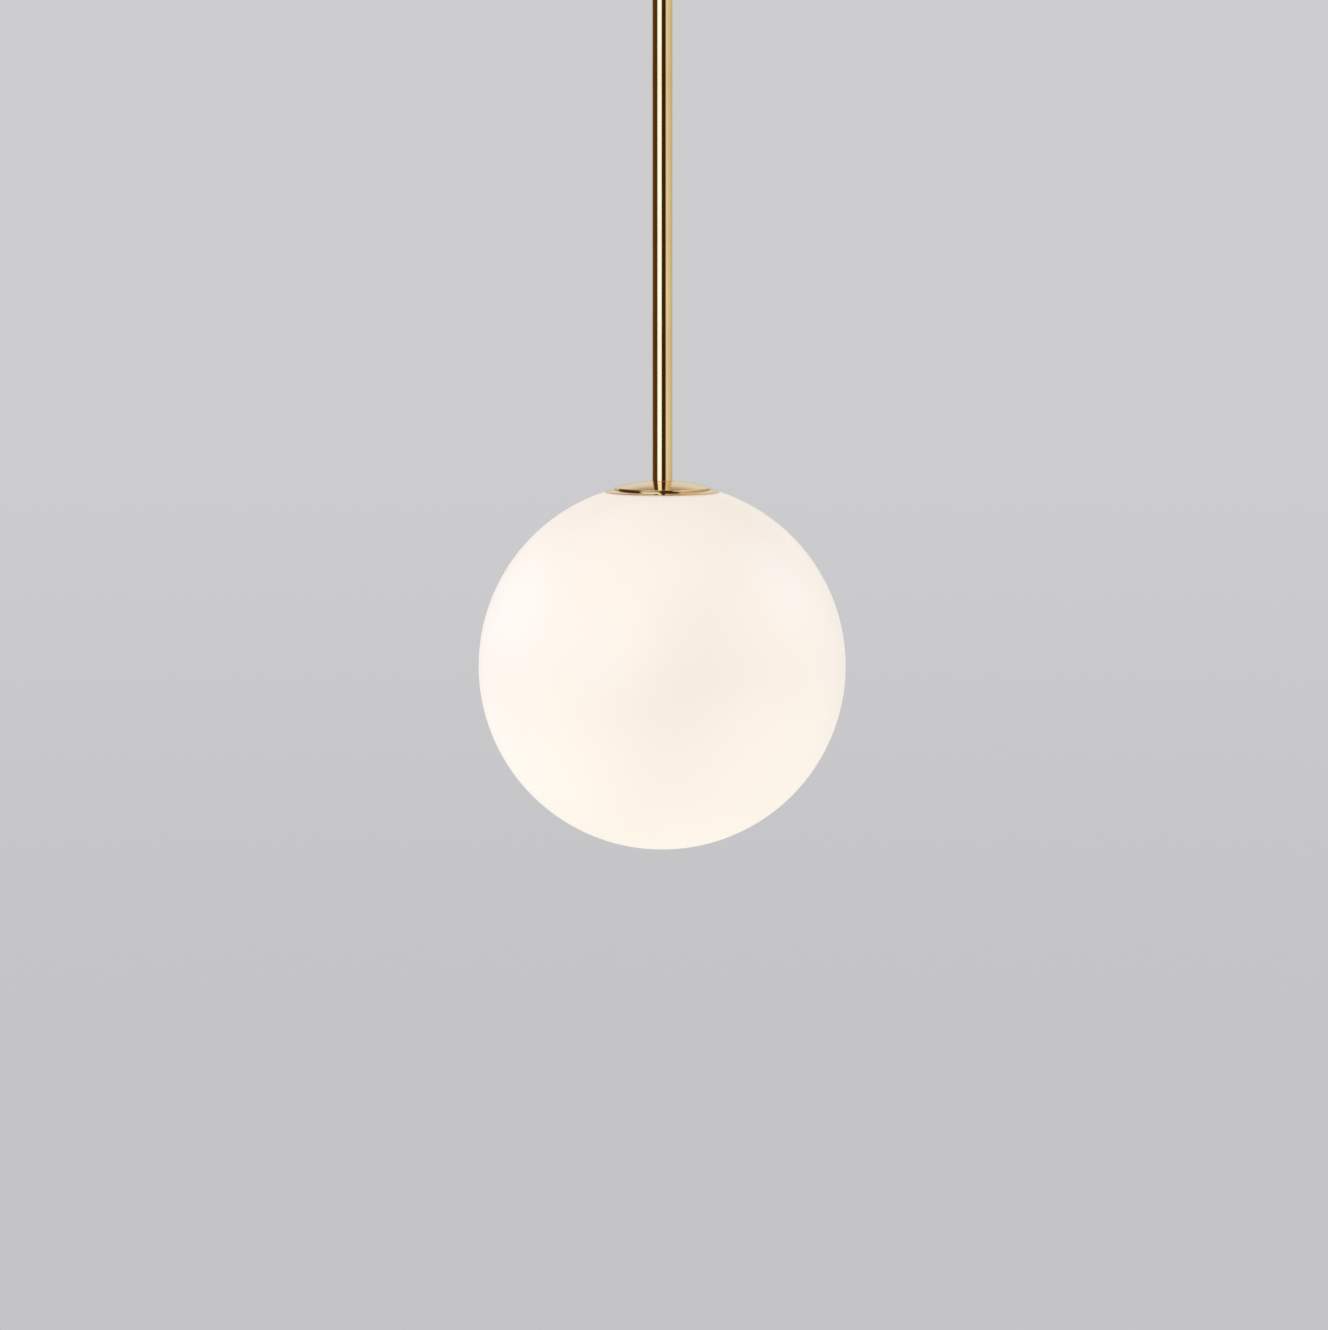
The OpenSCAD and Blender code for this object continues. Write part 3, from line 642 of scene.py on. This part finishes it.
def glass_globe():
    """Blown globe with a ground lip, softened where the grinding meets the outer and inner faces."""
    inner = GLOBE_R - GLASS_T
    soft, ground = 0.35 * MM, 0.1 * MM
    start = math.degrees(math.asin((GLASS_LIP_Z - GLOBE_Z - 0.6 * soft) / GLOBE_R))
    hole_angle = math.degrees(math.acos((GLASS_HOLE_R + soft) / inner))
    outside = arc((0, GLOBE_Z), GLOBE_R, -90, start, 120)
    inside = arc((0, GLOBE_Z), inner, hole_angle, -90, 110)
    outside[0].x = inside[-1].x = 0
    corner_z = inside[0].y
    lip = [(GLASS_LIP_R - 0.25 * MM, GLASS_LIP_Z), (GLASS_HOLE_R + soft, GLASS_LIP_Z),
           (GLASS_HOLE_R + ground, GLASS_LIP_Z - ground), (GLASS_HOLE_R, GLASS_LIP_Z - soft),
           (GLASS_HOLE_R, corner_z + soft), (GLASS_HOLE_R + ground, corner_z + ground)]
    return stands_for(lathe("glass_globe_blown", outside + lip + inside, 192), "glass_globe")


def flat_ring(node, bore, edge, relief=None):
    """A washer or gasket with soft edges."""
    outer, bottom, top = extent(node)
    outline = tube_profile(outer, bore, bottom, top, edge)
    stands_for(lathe(node + "_cut", outline, 144, relief), node)


def lock_washer():
    """Toothed washer: notches go round its outer edge."""
    teeth, depth = 16, 0.7 * MM
    root = 0.9 * radius("lock_washer")

    def notches(angle, r, z):
        return -depth * max(0, math.cos(teeth * angle)) if r > root else 0

    flat_ring("lock_washer", THREAD_R, 0.15 * MM, notches)


def cable_grommet():
    """Rubber bush: neck in the plate, domed flange beneath it."""
    lowest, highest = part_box("cable_grommet")
    bottom, top = lowest.z, highest.z
    centre_y = (lowest.y + highest.y) / 2
    flange_r, neck_r, bore_r = 9 * MM, 6.95 * MM, 4.5 * MM
    flange_top = bottom + 2 * MM
    outline = fillet(
        [(bore_r, bottom), (flange_r, bottom), (flange_r, flange_top), (neck_r, flange_top), (neck_r, top),
         (bore_r, top)],
        [0.8 * MM, 1.1 * MM, 0.5 * MM, 0.2 * MM, 0.4 * MM, 0.6 * MM])
    stands_for(lathe("cable_grommet_moulded", outline, at=(0, centre_y, 0)), "cable_grommet")


# ---------------------------------------------------------------- threaded pieces


def fade(z, starts_at, ends_at, run_out):
    """1 between two heights, going down to 0 at each over the length of run_out."""
    return min(1, max(0, z - starts_at) / run_out, max(0, ends_at - z) / run_out)


def wave(angle):
    """1 at angle 0, down to 0 half a turn on, and up again."""
    return 0.5 + 0.5 * math.cos(angle)


def thread(pitch, depth, starts_at, ends_at, run_out):
    """Relief of a thread between two heights, which fades in and out."""
    def relief(angle, r, z):
        return -depth * fade(z, starts_at, ends_at, run_out) * wave(TAU * z / pitch - angle)
    return relief


def rings_between(r, z_low, z_high, step):
    """Points straight up at radius r, close enough for a thread."""
    count = max(2, round((z_high - z_low) / step))
    return [(r, z_low + (z_high - z_low) * k / count) for k in range(count + 1)]


def outside_only(relief, outer):
    """The same relief, kept off every face but the outermost one."""
    return lambda angle, r, z: relief(angle, r, z) if r >= outer else 0


def nipple(node):
    """M10 x 1 tube threaded from end to end."""
    outer, bottom, top = extent(node)
    depth, chamfer, chamfer_h = 0.45 * MM, 0.4 * MM, 0.3 * MM
    cut = thread(M10_PITCH, depth, bottom, top, M10_PITCH)
    outline = rings_between(outer, bottom + chamfer_h, top - chamfer_h, M10_PITCH / 6)
    outline += [(outer - chamfer, top), (NIPPLE_BORE_R, top)]
    outline += [(NIPPLE_BORE_R, bottom), (outer - chamfer, bottom)]
    stands_for(lathe(node + "_threaded", outline, 48, outside_only(cut, outer)), node)


def lamp_cap():
    """E27 screw cap rolled from sheet, with a plain collar where it meets the housing."""
    outer, bottom, top = extent("lamp_cap")
    depth, collar, run_out = 0.9 * MM, 3 * MM, 1.5 * MM
    inner = outer - 1.5 * MM
    cut = thread(E27_PITCH, depth, bottom + collar, top, run_out)
    outline = rings_between(outer, bottom, top - 0.8 * MM, E27_PITCH / 14)
    outline += [(outer - 0.35 * MM, top - 0.2 * MM), (outer - 1 * MM, top), (inner, top), (inner, bottom)]
    stands_for(lathe("lamp_cap_rolled", outline, 96, outside_only(cut, outer)), "lamp_cap")


def holder_shell():
    """The holder's threaded shell: one sheet with the thread rolled through both faces."""
    outer, bottom, top = extent("holder_shell")
    depth, sheet, run_out = 0.3 * MM, 0.5 * MM, 1.5 * MM
    inner = outer - sheet
    cut = thread(E27_PITCH, depth, bottom, top, run_out)
    step = E27_PITCH / 12
    outline = rings_between(outer, bottom, top, step) + rings_between(inner, bottom, top, step)[::-1]
    stands_for(lathe("holder_shell_rolled", outline, 96, cut), "holder_shell")


# ---------------------------------------------------------------- lamp holder and lamp


def holder_cap():
    """Pressed steel cap with rounded shoulders, a rolled groove and a threaded boss."""
    outer, bottom, top = extent("holder_cap")
    wall, groove = 1 * MM, 0.45 * MM
    boss_r, boss_end = 8 * MM, top - 8 * MM
    outside = [(THREAD_R, top), (14 * MM, top), (17.8 * MM, top - 1.6 * MM), (outer, top - 5 * MM)]
    rolled = [(outer, top - 8 * MM), (outer - groove, top - 8.5 * MM), (outer - groove, top - 9.3 * MM),
              (outer, top - 9.8 * MM)]
    inside = [(outer, bottom), (outer - wall, bottom), (outer - wall, top - 5.4 * MM),
              (17 * MM, top - 2.5 * MM), (13.7 * MM, top - wall)]
    boss = [(boss_r, top - wall), (boss_r, boss_end), (THREAD_R, boss_end)]
    radii_mm = [0, 1, 1, 2] + [0.3] * 4 + [0.25, 0.25, 1, 1, 1] + [0.5, 0.4, 0.3]
    outline = fillet(outside + rolled + inside + boss, [r * MM for r in radii_mm])
    stands_for(lathe("holder_cap_pressed", outline, 128), "holder_cap")


def holder_skirt():
    """Glazed ceramic skirt with two raised bands."""
    outer, bottom, top = extent("holder_skirt")
    bore, waist = 14.5 * MM, outer - 0.8 * MM
    bands = [bottom + h * MM for h in (6, 10, 20)]
    crest, root = 0.6 * MM, 0.35 * MM
    outline = fillet(
        [(bore, bottom), (outer, bottom), (outer, bands[0]), (waist, bands[0]), (waist, bands[1]),
         (outer, bands[1]), (outer, bands[2]), (waist, bands[2]), (waist, top), (bore, top)],
        [0.8 * MM, 1.2 * MM, crest, root, root, crest, crest, root, 0.3 * MM, 0.3 * MM])
    stands_for(lathe("holder_skirt_glazed", outline, 128), "holder_skirt")


def lamp_housing():
    """Moulded neck of the lamp: a flared body with fine ribs and a collar under the glass."""
    foot_r, bottom, top = extent("lamp_housing")
    neck_r = radius("lamp_cap") + 0.6 * MM
    board_z = high("led_board").z
    rib_count, rib_depth = 36, 0.22 * MM
    ribs_start, ribs_end = bottom + 3 * MM, top - 1 * MM
    steps = [k / 16 for k in range(1, 14)]
    flare = [(neck_r + (foot_r - neck_r) * t ** 1.3, top + (bottom - top) * t) for t in steps]
    collar = fillet([flare[-1], (foot_r, bottom + 2.4 * MM), (foot_r, bottom), (foot_r - 2 * MM, bottom)],
                    [0, 0.5 * MM, 0.4 * MM, 0])
    outline = [(0, top), (neck_r - 0.3 * MM, top), (neck_r, top - 0.3 * MM)] + flare + collar[1:]
    outline += [(foot_r - 3.5 * MM, board_z), (0, board_z)]

    def ribs(angle, r, z):
        along = fade(z, ribs_start, ribs_end, 1 * MM)
        return -rib_depth * along * wave(rib_count * angle) if r > neck_r else 0

    stands_for(lathe("lamp_housing_moulded", outline, 216, ribs), "lamp_housing")


def lamp_bulb():
    """Round diffuser with a rolled edge that tucks into the housing."""
    outer, bottom, top = extent("lamp_bulb")
    inner = outer - 1 * MM
    centre_z = bottom + outer
    roll = 0.3 * MM
    end = math.degrees(math.asin((top - centre_z - roll) / outer))
    outside = arc((0, centre_z), outer, -90, end, 56)
    inside = arc((0, centre_z), inner, end, -90, 52)
    outside[0].x = inside[-1].x = 0
    edge = [(outside[-1] + inside[0]) / 2 + Vector((0, roll))]
    stands_for(lathe("lamp_bulb_moulded", outside + edge + inside, 128), "lamp_bulb")


def lamp_insulator():
    """Black glass cone between the cap and the centre contact."""
    outer, bottom, top = extent("lamp_insulator")
    inner = radius("lamp_contact") + 1 * MM
    outline = fillet([(0, bottom), (outer, bottom), (inner, top), (0, top)], [0, 0.5 * MM, 1 * MM, 0])
    stands_for(lathe("lamp_insulator_pressed", outline), "lamp_insulator")


def lamp_contact():
    """Solder button: a low dome."""
    outer, bottom, top = extent("lamp_contact")
    angles = [TAU / 4 * k / 8 for k in range(8)]
    dome = [(outer * math.cos(a), bottom + (top - bottom) * math.sin(a)) for a in angles]
    stands_for(lathe("lamp_contact_soldered", [(0, bottom)] + dome + [(0, top)], 64), "lamp_contact")


# ---------------------------------------------------------------- machined, cast and moulded small parts


def from_cad(node):
    """A copy of a node's CAD mesh with its faces joined at their corners."""
    bm = bmesh.new()
    bm.from_mesh(frame["nodes"][node].data)
    bmesh.ops.remove_doubles(bm, verts=bm.verts, dist=0.001 * MM)
    return bm


def softened(node, width):
    """The node's shape with flat faces in one piece and every sharp edge broken to the given width."""
    bm = from_cad(node)
    bmesh.ops.dissolve_limit(bm, angle_limit=math.radians(1), verts=bm.verts, edges=bm.edges)
    edges = [e for e in bm.edges if len(e.link_faces) == 2 and e.calc_face_angle() > math.radians(30)]
    bmesh.ops.bevel(bm, geom=edges, offset=width, segments=2, affect="EDGES", clamp_overlap=True)
    piece = new_piece(node + "_softened", bm)
    piece.modifiers.new("flat_faces", "WEIGHTED_NORMAL").keep_sharp = True
    stands_for(piece, node)


def rounded_wire(node):
    """A core of the wiring: the CAD sweep, subdivided until it is round."""
    bm = from_cad(node)
    bmesh.ops.join_triangles(bm, faces=bm.faces, angle_face_threshold=math.radians(50),
                             angle_shape_threshold=math.pi)
    piece = new_piece(node + "_core", bm, sharp=60)
    rounding = piece.modifiers.new("rounding", "SUBSURF")
    rounding.levels = rounding.render_levels = 1
    stands_for(piece, node)


# How wide each of these nodes has its edges broken, in mm
EDGE_BREAKS = {
    "mounting_plate": 0.3, "canopy_screws": 0.35, "swivel_yoke": 0.5, "yoke_screws": 0.3, "earth_screw": 0.3,
    "earth_lug": 0.12, "terminal_block": 0.5, "terminal_sleeves": 0.15, "terminal_screws": 0.12,
    "terminal_fixings": 0.2, "gimbal_ring": 0.3, "tilt_pins_x": 0.2, "tilt_pins_y": 0.2, "swivel_head": 0.3,
    "gallery_plate": 0.3, "lock_nut": 0.35, "retaining_springs": 0.1, "spring_rivets": 0.4,
    "holder_insert": 0.4, "holder_terminals": 0.3, "centre_contact": 0.1, "led_board": 0.2,
}
WIRES = [node for node, slot in NODE_SLOT.items() if slot.endswith("_insulation")]

# ---------------------------------------------------------------- the whole light

stem_tube()
cap_dome()
gallery_ring()
swivel_ball()
canopy_cover()
globe = glass_globe()
flat_ring("cap_washer", THREAD_R, 0.08 * MM)
flat_ring("glass_gasket", GLASS_HOLE_R + 0.1 * MM, 0.1 * MM)
lock_washer()
cable_grommet()
nipple("upper_nipple")
nipple("lower_nipple")
lamp_cap()
holder_shell()
holder_cap()
holder_skirt()
lamp_housing()
lamp_bulb()
lamp_insulator()
lamp_contact()
for name, width_mm in EDGE_BREAKS.items():
    softened(name, width_mm * MM)
for name in WIRES:
    rounded_wire(name)

# Two panels that only the globe mirrors, one on each side
soft_box("sheen_left", (-2.7, 0.95, 0.55), (1.9, 1.9), 12, (0.45, 0.6, 1.0), sheen_on=globe)
soft_box("sheen_right", (2.5, 0.7, 1.1), (1.9, 1.9), 13, (0.4, 0.6, 1.0), sheen_on=globe)
